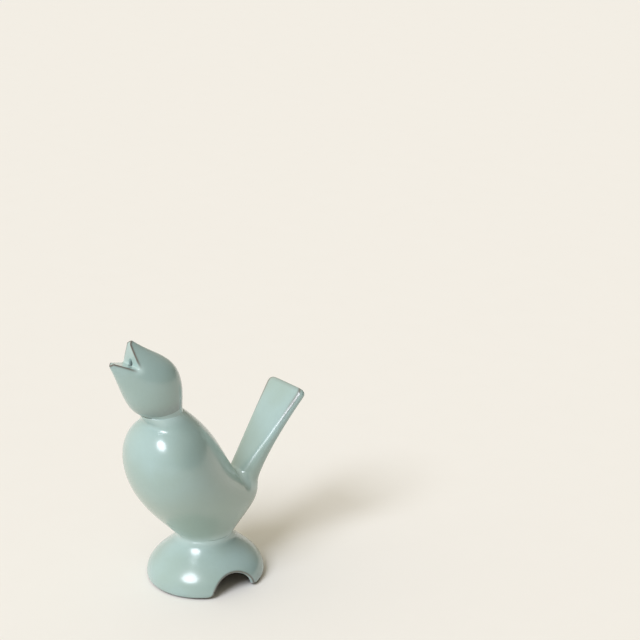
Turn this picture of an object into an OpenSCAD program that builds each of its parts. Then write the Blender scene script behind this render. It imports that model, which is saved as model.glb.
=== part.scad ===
// Pie bird: a hollow stoneware steam vent in the shape of a singing bird.
// A domed foot, an egg-shaped body, a head and a tail are cast by themselves
// and joined with thin layers of slip. Steam enters by two arches in the foot,
// rises through the foot, waist, body and neck, and leaves by the open beak.
// Millimetres. +Z is up, the bird looks along -Y and its left flank is +X.
// The origin is the middle of the foot, on the surface it stands on.

/* [Foot] */
// Widest diameter of the foot dome
foot_d = 43.8; // [42:0.2:50]
// Height of the widest part of the dome
foot_belly_z = 1.9; // [1.5:0.1:4]
// Height of the dome, up to the waist joint
foot_h = 17.6; // [16:0.2:21]
// Width of the flat ring that the foot stands on
rim_w = 2.6; // [1.8:0.1:3.2]
// How far the outer edge of the rim is rounded in from the widest part
rim_inset = 1.5; // [0.4:0.1:2]
// How far the side of the dome keeps rising straight before it turns in
dome_rise = 7.5; // [5:0.1:9]
// How far the crown of the dome keeps its slope below the waist
dome_crown = 5; // [3:0.2:7]
// Slope of the dome where it meets the waist
dome_slope = 87; // [76:1:90]
// Diameter of the two steam arches in the flanks
arch_d = 17.6; // [14:0.2:20]
// How far the arches sit forward of the middle of the flanks
arch_forward = 1.2; // [0:0.2:4]

/* [Walls and joints] */
// Thickness of the cast walls
wall = 2.6; // [1.8:0.1:3.2]
// Thickness of each layer of joining slip
slip_t = 0.6; // [0.3:0.1:1]
// How far the slip is squeezed out of a joint
slip_proud = 0.25; // [0.1:0.05:0.5]

/* [Body] */
// Diameter of the waist joint between foot and body
waist_d = 21.6; // [20:0.2:25]
// Diameter of the neck joint between body and head
neck_d = 15.4; // [14.5:0.2:18]
// How far the middle of the neck joint lies in front of the foot's axis
neck_forward = 17.8; // [15:0.2:21]
// Height of the middle of the neck joint
neck_z = 70.3; // [66:0.1:75]
// How far the neck joint is tipped towards the breast
neck_tilt = 2; // [-4:0.5:10]
// Direction in which the breast leaves the waist, above level
breast_leave = 48.8; // [44:0.2:53]
// How far the breast holds that direction
breast_low = 23.4; // [20:0.2:26]
// How far in front of the foot's axis the point that rounds the breast lies
breast_forward = 42; // [39:0.2:45]
// Height of that point
breast_z = 43.8; // [40:0.2:48]
// How far in front of the neck the point that rounds the shoulder lies
shoulder_out = 2.6; // [0:0.2:6]
// How far above the neck joint that point lies
shoulder_up = 5.9; // [3:0.1:8]
// How far the breast is tucked in under the neck
tuck_in = 6.5; // [4:0.1:8]
// How far below the neck that tuck lies
tuck_drop = 9.3; // [7:0.1:11]
// Direction in which the rump leaves the waist, above level
rump_leave = 146.8; // [142:0.2:154]
// How far the rump holds that direction
rump_low = 23; // [20:0.5:26]
// How far behind the foot's axis the saddle between back and rump lies
saddle_back = 13.8; // [11:0.2:16]
// Height of that saddle
saddle_z = 38.6; // [36:0.2:42]
// Slope of the saddle
saddle_slope = 53; // [44:1:62]
// How far down into the rump that slope is held
saddle_low = 16; // [12:0.5:20]
// How far up the back that slope is held
saddle_high = 9.6; // [7:0.2:14]
// Slope of the back below the neck
back_slope = 40.4; // [34:0.2:48]
// How far down the back holds that slope
back_reach = 19.4; // [16:0.2:23]
// Half width that shapes the flanks above the waist
flank_low = 12.6; // [11:0.2:15]
// Half width that shapes the belly
flank_belly = 23.4; // [20:0.2:26]
// Half width that shapes the middle of the flanks
flank_mid = 13.4; // [11:0.2:17]
// Half width that shapes the flanks below the neck
flank_high = 16.2; // [13:0.2:19]
// How far the lower body narrows towards the rump, as a share of the width
rump_taper = 0.08; // [0:0.02:0.4]
// How far the flanks narrow towards the tail, as a share of the width
flank_taper = 1.08; // [0.6:0.02:1.3]
// How far the shoulders narrow towards the back, as a share of the width
shoulder_taper = 0.32; // [0:0.02:0.6]

/* [Tail] */
// How far behind the foot's axis the front face of the tail starts, inside the body
tail_root_back = 6.6; // [5:0.2:9]
// Height at which the front face of the tail starts
tail_root_z = 30.2; // [28:0.2:33]
// How far behind the foot's axis the front face of the tail ends
tail_tip_back = 38.4; // [34:0.2:44]
// Height at which the front face of the tail ends
tail_tip_z = 67.6; // [62:0.2:72]
// Thickness of the tail at its tip
tail_tip_t = 4.6; // [3.5:0.1:6]
// How far behind the foot's axis the underside of the tail starts
tail_under_back = 22; // [20:0.2:23]
// Height at which the underside of the tail starts
tail_under_z = 27.6; // [26:0.2:29]
// Direction in which the underside of the tail leaves the rump, above level
tail_under_leave = 99; // [94:1:106]
// How far the underside of the tail holds that direction
tail_under_reach = 13; // [9:0.2:16]
// How far below the tip the underside runs straight
tail_straight = 13.2; // [8:0.2:18]
// Width of the tail at its root
tail_root_w = 8.6; // [7:0.2:11]
// Width that shapes the stem of the tail
tail_stem_w = 12.4; // [10:0.2:16]
// Width of the tail at its tip
tail_tip_w = 21; // [17:0.2:24]
// Radius of the rounded corners at the end of the tail
tail_corner = 3; // [1:0.1:4]

/* [Head] */
// How far the tip of the upper beak lies in front of the foot's axis
upper_beak_forward = 29.2; // [27:0.2:32]
// Height of the tip of the upper beak
upper_beak_z = 100; // [96:0.2:103]
// How far the tip of the lower beak lies in front of the foot's axis
lower_beak_forward = 38.4; // [36:0.2:41]
// Height of the tip of the lower beak
lower_beak_z = 92.6; // [91:0.2:96]
// Direction in which the nape leaves the neck, above level
nape_leave = 96; // [92:1:104]
// How far the nape holds that direction
nape_reach = 20.4; // [17:0.2:23]
// How far the line of the crown is from level at the beak
crown_slope = 40; // [32:1:46]
// How far back from the beak the crown holds that slope
crown_reach = 16.6; // [13:0.2:19]
// Direction in which the throat leaves the neck, above level
throat_leave = 19; // [10:1:30]
// How far the throat holds that direction
throat_low = 6.2; // [3:0.1:8]
// Direction of the throat line at the beak, above level
chin_slope = 62; // [56:1:68]
// How far down from the beak the throat holds that direction
chin_reach = 12; // [9:0.2:14]
// Half width that shapes the cheeks
cheek = 10; // [9.4:0.1:11]
// Half width that shapes the base of the beak
beak_base = 8.1; // [7:0.1:9]
// Half width of the tip of the beak
beak_tip = 1.2; // [0.8:0.1:1.8]

/* [Mouth] */
// How far the corner of the mouth lies in front of the foot's axis
mouth_forward = 29.2; // [27:0.2:30]
// Height of the corner of the mouth
mouth_z = 90; // [88:0.2:91]
// Thickness of the lips at the tips of the beak
lip_t = 1.1; // [0.6:0.1:1.6]
// Diameter of the steam hole at the back of the mouth
vent_d = 2.4; // [2:0.1:3.4]
// Diameter of the scoop that leads from the mouth into the steam hole
scoop_d = 4.2; // [3.6:0.2:6]
// Depth of that scoop behind the corner of the mouth
scoop_depth = 1.8; // [1:0.1:2.4]
// Share of the head, from the neck, that is hollow
head_hollow = 0.5; // [0.4:0.01:0.55]

/* [Hidden] */

$fn = 96;
glaze = [0.66, 0.75, 0.72];
pooled_glaze = [0.74, 0.82, 0.80];
sides = 48;
body_rings = 34;
saddle_share = saddle_low / (saddle_low + saddle_high);
head_rings = 22;
tail_rings = 16;
past = 1;
mouth_overshoot = 1.6;

waist_r = waist_d / 2;
neck_r = neck_d / 2;
foot_r = foot_d / 2;
body_z = foot_h + slip_t;
neck_normal = [sin(neck_tilt), cos(neck_tilt)];
neck_mid = [neck_forward, neck_z];
head_mid = neck_mid + slip_t * neck_normal;

// Curves lie in the bird's middle plane as [forward, up].
function heading(a) = [cos(a), sin(a)];
function unit(v) = v / norm(v);
function bezier(a, b, c, d, t) =
    pow(1 - t, 3) * a + 3 * t * pow(1 - t, 2) * b + 3 * t * t * (1 - t) * c + t * t * t * d;
// The same with five or six controls: two shorter curves, one control apart, mixed by t.
function bezier5(a, b, c, d, e, t) = (1 - t) * bezier(a, b, c, d, t) + t * bezier(b, c, d, e, t);
function bezier6(a, b, c, d, e, f, t) =
    (1 - t) * bezier5(a, b, c, d, e, t) + t * bezier5(b, c, d, e, f, t);
function place(x, q) = [x, -q[0], q[1]];
function neck_edge(mid, side) = mid + side * neck_r * heading(-neck_tilt);

// A ring across the middle plane between a front and a back point, swollen by grow.
function ring(front, back, half_w, fullness, grow) =
    let (
        mid = (front + back) / 2,
        reach = (front - back) / 2,
        long = reach * (1 + grow / norm(reach)),
        wide = half_w + grow
    )
    [for (i = [0 : sides - 1])
        let (a = 360 * i / sides)
        place(wide * cos(a) * (1 + fullness * sin(a)), mid + long * sin(a))];

function breast(t) =
    let (start = [waist_r, body_z], end = neck_edge(neck_mid, 1))
    bezier6(start, start + breast_low * heading(breast_leave), [breast_forward, breast_z],
        end + [shoulder_out, shoulder_up], end - [tuck_in, tuck_drop], end, t);
function back(t) =
    let (
        start = [-waist_r, body_z],
        saddle = [-saddle_back, saddle_z],
        lean = heading(saddle_slope),
        end = neck_edge(neck_mid, -1)
    )
    t < saddle_share
        ? bezier(start, start + rump_low * heading(rump_leave), saddle - saddle_low * lean, saddle,
            t / saddle_share)
        : bezier(saddle, saddle + saddle_high * lean, end - back_reach * heading(back_slope), end,
            (t - saddle_share) / (1 - saddle_share));
function body_ring(t, grow) =
    ring(breast(t), back(t),
        bezier6(waist_r, flank_low, flank_belly, flank_mid, flank_high, neck_r, t),
        bezier5(0, rump_taper, flank_taper, shoulder_taper, 0, t), grow);

upper_beak = [upper_beak_forward, upper_beak_z];
lower_beak = [lower_beak_forward, lower_beak_z];
mouth = [mouth_forward, mouth_z];
function crown(t) =
    let (start = neck_edge(head_mid, -1))
    bezier(start, start + nape_reach * heading(nape_leave),
        upper_beak - crown_reach * heading(crown_slope), upper_beak, t);
function throat(t) =
    let (start = neck_edge(head_mid, 1))
    bezier(start, start + throat_low * heading(throat_leave),
        lower_beak - chin_reach * heading(chin_slope), lower_beak, t);
function head_ring(t, grow) =
    ring(throat(t), crown(t), bezier(neck_r, cheek, beak_base, beak_tip, t), 0, grow);

// The tail's section is a rectangle with round corners, as a superellipse.
tail_front_start = [-tail_root_back, tail_root_z];
tail_front_end = [-tail_tip_back, tail_tip_z];
tail_axis = unit(tail_front_end - tail_front_start);
tail_length = norm(tail_front_end - tail_front_start);
tail_under_start = [-tail_under_back, tail_under_z];
tail_under_end = tail_front_end + tail_tip_t * [-tail_axis[1], tail_axis[0]];
tail_squareness = 0.45;
function signed_power(v, p) = sign(v) * pow(abs(v), p);
function tail_front(t) = tail_front_start + t * tail_length * tail_axis;
function tail_under(t) =
    bezier(tail_under_start, tail_under_start + tail_under_reach * heading(tail_under_leave),
        tail_under_end - tail_straight * tail_axis, tail_under_end, t);
function tail_half_w(t) =
    let (into_corner = max(0, 1 - (1 - t) * tail_length / tail_corner))
    bezier(tail_root_w, tail_stem_w, (tail_stem_w + tail_tip_w) / 2, tail_tip_w, t) / 2
        - tail_corner * (1 - sqrt(1 - into_corner * into_corner));
function tail_ring(t, grow) =
    let (
        mid = (tail_front(t) + tail_under(t)) / 2,
        reach = (tail_front(t) - tail_under(t)) / 2,
        long = reach * (1 + grow / norm(reach)),
        wide = tail_half_w(t) + grow
    )
    [for (i = [0 : sides - 1])
        let (a = 360 * i / sides)
        place(wide * signed_power(cos(a), tail_squareness), mid + long * signed_power(sin(a), tail_squareness))];

// A skin of triangles over a stack of rings, flat at both ends.
module loft(rings) {
    n = len(rings[0]);
    last = len(rings) - 1;
    polyhedron(
        points = [for (r = rings) each r],
        faces = [
            for (k = [0 : last - 1], i = [0 : n - 1])
                let (j = (i + 1) % n)
                each [[k * n + i, k * n + j, (k + 1) * n + i], [k * n + j, (k + 1) * n + j, (k + 1) * n + i]],
            for (i = [1 : n - 2])
                each [[0, i + 1, i], [last * n, last * n + i, last * n + i + 1]]
        ]);
}

// A wall between an outer and an inner stack of rings, open at both ends.
module tube(outer, inner) {
    n = len(outer[0]);
    last = len(outer) - 1;
    inside = len(outer) * n;
    polyhedron(
        points = concat([for (r = outer) each r], [for (r = inner) each r]),
        faces = [
            for (k = [0 : last - 1], i = [0 : n - 1])
                let (j = (i + 1) % n, a = k * n, b = a + n)
                each [
                    [a + i, a + j, b + i],
                    [a + j, b + j, b + i],
                    [inside + a + i, inside + b + i, inside + a + j],
                    [inside + a + j, inside + b + i, inside + b + j]
                ],
            for (i = [0 : n - 1])
                let (j = (i + 1) % n, top = last * n)
                each [
                    [i, inside + i, j],
                    [j, inside + i, inside + j],
                    [top + i, top + j, inside + top + i],
                    [top + j, inside + top + j, inside + top + i]
                ]
        ]);
}

function steps(n, end) = [for (k = [0 : n]) end * k / n];

// Ring of slip with a rounded outer edge, lying on z = 0.
module slip_ring(r) {
    rotate_extrude() {
        translate([r - wall, 0]) square([wall, slip_t]);
        intersection() {
            translate([r, slip_t / 2]) scale(slip_t / 2) circle(r = 1);
            translate([r - past, 0]) square([past + slip_proud, slip_t]);
        }
    }
}

module foot_dome() {
    rim_r = foot_r - rim_inset;
    bore_r = waist_r - wall;
    belly = [foot_r, foot_belly_z];
    top = [waist_r, foot_h];
    inner_belly = [foot_r - wall, foot_belly_z];
    inner_top = [bore_r, foot_h - wall];
    crown_back = dome_crown * [cos(dome_slope), -sin(dome_slope)];
    up = [0, dome_rise];
    color(glaze)
    difference() {
        rotate_extrude()
        polygon(concat(
            [[rim_r - rim_w, 0]],
            [for (a = [0 : 15 : 75]) [rim_r + rim_inset * sin(a), foot_belly_z * (1 - cos(a))]],
            [for (t = steps(20, 1)) bezier(belly, belly + up, top + crown_back, top, t)],
            [[bore_r, foot_h]],
            [for (t = steps(16, 1)) bezier(inner_top, inner_top + crown_back, inner_belly + up, inner_belly, t)]
        ));
        translate([0, -arch_forward, 0])
        rotate([0, 90, 0])
        cylinder(d = arch_d, h = foot_d + 2 * past, center = true);
    }
}

module waist_slip() {
    color(pooled_glaze)
    translate([0, 0, foot_h])
    slip_ring(waist_r);
}

module body_shell() {
    ts = steps(body_rings, 1);
    color(glaze)
    tube([for (t = ts) body_ring(t, 0)], [for (t = ts) body_ring(t, -wall)]);
}

module neck_slip() {
    color(pooled_glaze)
    translate(place(0, neck_mid))
    rotate([neck_tilt, 0, 0])
    slip_ring(neck_r);
}

// The V between the lips, as wide as the head.
module mouth_cut() {
    into = lip_t * unit(lower_beak - upper_beak);
    upper = mouth + mouth_overshoot * (upper_beak + into - mouth);
    lower = mouth + mouth_overshoot * (lower_beak - into - mouth);
    loft([for (x = [cheek, -cheek]) [place(x, mouth), place(x, upper), place(x, lower)]]);
}

// Round cuts along the middle of the mouth: the scoop and the steam hole behind it.
module steam_way() {
    gape = unit(unit(upper_beak - mouth) + unit(lower_beak - mouth));
    lean = atan2(gape[0], gape[1]);
    hollow_end = (throat(head_hollow) + crown(head_hollow)) / 2;
    hole = norm(mouth - hollow_end) + past;
    translate(place(0, mouth))
    rotate([lean, 0, 0]) {
        translate([0, 0, -scoop_depth]) cylinder(d1 = vent_d, d2 = scoop_d, h = 2 * scoop_depth);
        translate([0, 0, -hole]) cylinder(d = vent_d, h = hole);
    }
}

module head_shell() {
    below_neck = [for (q = head_ring(0, -wall)) q - place(0, past * neck_normal)];
    hollow = [for (t = steps(head_rings / 2, head_hollow)) head_ring(t, -wall)];
    color(glaze)
    difference() {
        loft([for (t = steps(head_rings, 1)) head_ring(t, 0)]);
        loft(concat([below_neck], hollow));
        mouth_cut();
        steam_way();
    }
}

module body_form(grow) {
    loft([for (t = steps(body_rings, 1)) body_ring(t, grow)]);
}

module tail_form(grow) {
    ends = [for (k = [1 : 5]) 1 - tail_corner / tail_length * (1 - sin(18 * k))];
    straight = steps(tail_rings, 1 - tail_corner / tail_length);
    loft([for (t = concat(straight, ends)) tail_ring(t, grow)]);
}

module tail_slip() {
    color(pooled_glaze)
    difference() {
        intersection() {
            tail_form(slip_proud);
            body_form(slip_t);
        }
        body_form(0);
    }
}

module tail() {
    color(glaze)
    difference() {
        tail_form(0);
        body_form(slip_t);
    }
}

foot_dome();
waist_slip();
body_shell();
neck_slip();
head_shell();
tail_slip();
tail();
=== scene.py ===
"""Looks of a pie bird: a glazed stoneware steam vent in the shape of a singing bird.

Every piece is a closed surface worked out on a grid of two parameters, in millimetres as
(x, forward, up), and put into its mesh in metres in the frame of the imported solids. Sizes are in
millimetres, angles in degrees and shares from 0 to 1, unless a class says otherwise.
"""

import logging
import math
from dataclasses import dataclass, field
from enum import Enum
from typing import Callable

import bpy
import numpy as np
from mathutils import Matrix, Vector


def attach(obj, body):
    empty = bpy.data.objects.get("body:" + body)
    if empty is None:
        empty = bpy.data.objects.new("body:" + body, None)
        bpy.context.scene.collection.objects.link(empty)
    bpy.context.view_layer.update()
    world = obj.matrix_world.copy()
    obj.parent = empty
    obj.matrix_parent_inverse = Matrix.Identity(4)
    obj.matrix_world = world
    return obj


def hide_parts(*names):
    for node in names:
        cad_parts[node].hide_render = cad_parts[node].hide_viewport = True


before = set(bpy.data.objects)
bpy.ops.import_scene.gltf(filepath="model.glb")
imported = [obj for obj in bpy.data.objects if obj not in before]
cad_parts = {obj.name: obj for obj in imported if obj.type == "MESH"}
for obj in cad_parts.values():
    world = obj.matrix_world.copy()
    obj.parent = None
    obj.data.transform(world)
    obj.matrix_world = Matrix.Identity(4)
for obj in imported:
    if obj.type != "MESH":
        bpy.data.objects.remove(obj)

log = logging.getLogger("pie_bird")
Array = np.ndarray
Colour = tuple[float, float, float, float]
MM = 0.001
TINY = 1e-12
SIDES = 192
LINE_PART = 20


class Mask(Enum):
    """Point attributes that the finishes read."""

    # thin glaze on edges, and painted shade under the head
    EDGE = "thin_edge_and_shade"
    # pooled glaze, and painted highlights in the waist and neck creases and the mouth's corner
    POOL_AND_GLINT = "pooled"
    BARE = "bare_clay"


class Slot(Enum):
    """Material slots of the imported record."""

    GLAZE = "celadon_glaze"
    SLIP = "glazed_slip"


# Curves and grids


def heading(degrees: float) -> Array:
    """Unit vector [forward, up] that many degrees above level."""
    return np.array([math.cos(math.radians(degrees)), math.sin(math.radians(degrees))])


def polar(angle: Array) -> Array:
    """Unit vectors [cosine, sine] at angles in radians."""
    return np.stack([np.cos(angle), np.sin(angle)], -1)


def unit(v: Array) -> Array:
    """Vectors of the last axis, scaled to length one."""
    return v / np.maximum(np.linalg.norm(v, axis=-1, keepdims=True), TINY)


def smooth(t: Array) -> Array:
    """Cubic step that eases from 0 to 1."""
    t = np.clip(t, 0.0, 1.0)
    return t * t * (3 - 2 * t)


def bell(t: Array) -> Array:
    """Bell curve: 1 at 0, and about a third at 1 and -1."""
    return np.exp(-t * t)


def curve(t: Array, *controls: Array) -> Array:
    """Bezier curve of any order: the controls weighted by the Bernstein shares of t.

    Args:
        t: Parameters from 0 to 1.
        controls: Numbers, vectors or whole lines of points, from the start to the end.

    Returns:
        Array of t's shape, with the controls' axes last.
    """
    t, n = np.asarray(t, float), len(controls) - 1
    shares = (math.comb(n, k) * t**k * (1 - t) ** (n - k) for k in range(n + 1))
    return sum(np.multiply.outer(s, np.asarray(p, float)) for s, p in zip(shares, controls))


def bisect(rising: Callable[[Array], Array], low: Array, high: Array, rounds: int = 44) -> Array:
    """Where a function turns from negative to positive, halving every interval at once.

    Args:
        rising: Function of an array of parameters.
        low: Lower ends, where the function is negative.
        high: Upper ends.
        rounds: Number of halvings.

    Returns:
        Array of roots, or the upper end where the function stays negative.
    """
    low, high = np.array(low, float), np.array(high, float)
    for _ in range(rounds):
        mid = (low + high) / 2
        below = rising(mid) < 0
        low, high = np.where(below, mid, low), np.where(below, high, mid)
    return (low + high) / 2


def cross2(a: Array, b: Array) -> Array:
    """Turn from a to b in the middle plane, positive where b lies to the upper side."""
    return a[..., 0] * b[..., 1] - a[..., 1] * b[..., 0]


def ring(front: Array, back: Array, half_w: Array, fullness: Array, a: Array, grow: float) -> Array:
    """Point of a ring across the middle plane: along it by sin a, out of it by cos a.

    Args:
        front, back: Ends of the ring in the middle plane, as [forward, up].
        half_w: Half width across the plane.
        fullness: Share by which the front is wider than the back.
        a: Angle round the ring; a quarter turn is the front.
        grow: How far the ring swells.

    Returns:
        Points (x, forward, up).
    """
    mid, reach = (front + back) / 2, (front - back) / 2
    length = np.linalg.norm(reach, axis=-1, keepdims=True)
    along = mid + reach * (1 + grow / length) * np.sin(a)[..., None]
    x = (half_w + grow) * np.cos(a) * (1 + fullness * np.sin(a))
    return np.concatenate([np.broadcast_to(x, along.shape[:-1])[..., None], along], axis=-1)


def round_angles() -> Array:
    """Angles of one turn, starting at the left flank."""
    return np.arange(SIDES) * 2 * math.pi / SIDES


def circle(r: float, z: float) -> Array:
    """Level circle round the foot's axis."""
    a = round_angles()
    return np.stack([r * np.cos(a), r * np.sin(a), np.full_like(a, z)], -1)


def way(line: Callable[[float], Array], at: float, step: float) -> tuple[Array, Array]:
    """Line of a surface, and the directions in which the surface goes on from it.

    Args:
        line: Function that gives the surface's line at a parameter.
        at: Parameter of the line.
        step: Small step of the parameter.

    Returns:
        Points of the line and unit vectors at them.
    """
    here = line(at)
    return here, unit(line(at + step) - here)


def nearness(points: Array, line: Array, reach: float) -> Array:
    """Bell curve of the distance from each point to the nearest point of a line.

    Args:
        points: Grid of points.
        line: Points of the line, which are compared a few at a time to save memory.
        reach: Distance at which the bell has fallen to about a third.

    Returns:
        Array from 0 to 1, of the grid's shape.
    """
    flat = points.reshape(-1, 3)
    near = np.full(len(flat), np.inf)
    for part in np.array_split(line, max(1, len(line) // LINE_PART)):
        near = np.minimum(near, ((flat[:, None] - part[None]) ** 2).sum(-1).min(1))
    return np.exp(-near / reach**2).reshape(points.shape[:-1])


# Meshes


@dataclass
class Skin:
    """A closed surface on a grid of rows and columns; the columns run round a full turn.

    Where closed_rows is set the last row meets the first; otherwise both ends shrink to a point.
    """

    name: str
    points: Array
    closed_rows: bool = True
    sharp_rows: tuple[int, ...] = ()
    masks: dict[Mask, Array] = field(default_factory=dict)

    def faces(self) -> Array:
        """Lists the cells of the grid.

        Returns:
            Numbers of the four corners of every cell.
        """
        rows, cols = self.points.shape[:2]
        index = np.arange(rows * cols).reshape(rows, cols)
        right, up = np.roll(index, -1, 1), np.roll(index, -1, 0)
        quads = np.stack([index, right, np.roll(up, -1, 1), up], -1)
        return quads.reshape(-1, 4) if self.closed_rows else quads[:-1].reshape(-1, 4)

    def volume(self) -> float:
        """Signed volume, positive where the faces point outwards."""
        a, b, c, d = (self.points.reshape(-1, 3)[self.faces()[:, k]] for k in range(4))
        # forward is -Y in the frame, which turns the sense of the faces round
        return -float((np.cross(b - a, c - a) * a).sum() + (np.cross(c - a, d - a) * a).sum()) / 6

    def build(self) -> bpy.types.Object:
        """Puts the grid into a mesh in metres, with outward faces and its masks.

        Returns:
            The new object, at the origin.
        """
        points, faces = self.points, self.faces()
        if self.volume() < 0:
            faces = faces[:, ::-1]
        place = points.reshape(-1, 3) * np.array([1, -1, 1]) * MM
        mesh = bpy.data.meshes.new(self.name)
        mesh.from_pydata(place.tolist(), [], faces.tolist())
        for mask in Mask:
            values = np.broadcast_to(self.masks.get(mask, np.zeros(1)), points.shape[:-1])
            layer = mesh.attributes.new(mask.value, "FLOAT", "POINT")
            layer.data.foreach_set("value", np.clip(values, 0, 1).astype(np.float32).ravel())
        mesh.polygons.foreach_set("use_smooth", np.ones(len(faces), bool))
        mesh.update()
        if self.sharp_rows:
            ends = np.zeros(2 * len(mesh.edges), np.int32)
            mesh.edges.foreach_get("vertices", ends)
            rows = ends.reshape(-1, 2) // points.shape[1]
            along = (rows[:, 0] == rows[:, 1]) & np.isin(rows[:, 0], self.sharp_rows)
            mesh.attributes.new("sharp_edge", "BOOLEAN", "EDGE").data.foreach_set("value", along)
        piece = bpy.data.objects.new(self.name, mesh)
        bpy.context.scene.collection.objects.link(piece)
        return piece


# Forms of the cast pieces


@dataclass(frozen=True)
class Cast:
    """Sizes that the cast pieces share."""

    wall: float = 2.6
    slip: float = 0.6
    waist_r: float = 10.8
    foot_h: float = 17.6
    neck_r: float = 7.7
    neck_forward: float = 17.8
    neck_z: float = 70.3
    neck_tilt: float = 2.0

    def neck_edge(self, side: int, lift: float) -> Array:
        """Front (1) or back (-1) end of the neck ring, lifted along the neck."""
        mid = np.array([self.neck_forward, self.neck_z])
        return mid + lift * heading(90 - self.neck_tilt) + side * self.neck_r * heading(-self.neck_tilt)

    def waist_line(self) -> Array:
        """Circle of the waist joint."""
        return circle(self.waist_r, self.foot_h + self.slip / 2)


@dataclass(frozen=True)
class BodyForm:
    """Egg-shaped body between the waist and the neck."""

    cast: Cast
    breast_leave: float = 48.8
    breast_low: float = 23.4
    belly: tuple[float, float] = (42.0, 43.8)
    shoulder: tuple[float, float] = (2.6, 5.9)
    tuck: tuple[float, float] = (-6.5, -9.3)
    rump_leave: float = 146.8
    rump_low: float = 23
    saddle: tuple[float, float] = (-13.8, 38.6)
    saddle_slope: float = 53
    saddle_low: float = 16
    saddle_high: float = 9.6
    back_slope: float = 40.4
    back_reach: float = 19.4
    flanks: tuple[float, ...] = (12.6, 23.4, 13.4, 16.2)
    taper: tuple[float, ...] = (0.08, 1.08, 0.32)
    least_taper: float = 0.05

    def breast(self, t: Array) -> Array:
        """Front line of the body: a curve of six controls over the shoulder and in under the neck.

        Args:
            t: Shares of the way from the waist to the neck.

        Returns:
            Points [forward, up].
        """
        c = self.cast
        start, end = np.array([c.waist_r, c.foot_h + c.slip]), c.neck_edge(1, 0)
        low = start + self.breast_low * heading(self.breast_leave)
        return curve(t, start, low, self.belly, end + np.array(self.shoulder), end + np.array(self.tuck), end)

    def back(self, t: Array) -> Array:
        """Back line of the body: a cubic over the rump and one up the back, met in the saddle.

        Args:
            t: Shares of the way from the waist to the neck.

        Returns:
            Points [forward, up].
        """
        c = self.cast
        start, end = np.array([-c.waist_r, c.foot_h + c.slip]), c.neck_edge(-1, 0)
        saddle, lean = np.array(self.saddle), heading(self.saddle_slope)
        share = self.saddle_low / (self.saddle_low + self.saddle_high)
        rump = curve(np.minimum(t / share, 1), start, start + self.rump_low * heading(self.rump_leave),
                     saddle - self.saddle_low * lean, saddle)
        spine = curve(np.maximum((t - share) / (1 - share), 0), saddle, saddle + self.saddle_high * lean,
                      end - self.back_reach * heading(self.back_slope), end)
        return np.where(np.asarray(t)[..., None] < share, rump, spine)

    def half_width(self, t: Array) -> Array:
        """Half width of the flanks, a curve of six controls from waist to neck."""
        return curve(t, self.cast.waist_r, *self.flanks, self.cast.neck_r)

    def ridge(self, t: Array) -> Array:
        """Share by which a ring is narrower behind than in front."""
        return curve(t, 0, *self.taper, 0)

    def at(self, t: Array, a: Array, grow: float = 0.0) -> Array:
        """Points of the body at shares t of its height and angles a."""
        return ring(self.breast(t), self.back(t), self.half_width(t), self.ridge(t), a, grow)

    def ring_at(self, t: float) -> Array:
        """One whole ring of the body, at a share of its height."""
        return self.at(np.full(SIDES, t), round_angles())

    def depth(self, points: Array) -> Array:
        """Tells the inside of the body from the outside.

        The ring whose plane holds a point is found by halving; then s is the point's place along
        the ring and the value is s squared plus the square of x over the half width there, less 1.

        Args:
            points: Points (x, forward, up).

        Returns:
            Values that are negative inside and positive outside.
        """
        plane = points[..., 1:]
        t = bisect(lambda v: -cross2(self.breast(v) - self.back(v), plane - self.back(v)),
                   np.zeros(plane.shape[:-1]), np.ones(plane.shape[:-1]))
        front, rear = self.breast(t), self.back(t)
        reach = (front - rear) / 2
        s = ((plane - (front + rear) / 2) * reach).sum(-1) / (reach**2).sum(-1)
        wide = self.half_width(t) * np.maximum(1 + self.ridge(t) * s, self.least_taper)
        return s * s + (points[..., 0] / wide) ** 2 - 1

    def slope(self, points: Array, step: float = 0.05) -> Array:
        """Gradient of depth, by central differences."""
        parts = [(self.depth(points + d) - self.depth(points - d)) / (2 * step) for d in np.eye(3) * step]
        return np.stack(parts, -1)

    def settle(self, points: Array, rounds: int = 3) -> Array:
        """Moves points onto the body's surface along its gradient, in Newton steps.

        Args:
            points: Points near the surface.
            rounds: Number of steps.

        Returns:
            Points on the surface.
        """
        for _ in range(rounds):
            g = self.slope(points)
            points = points - (self.depth(points) / (g * g).sum(-1))[..., None] * g
        return points


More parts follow.
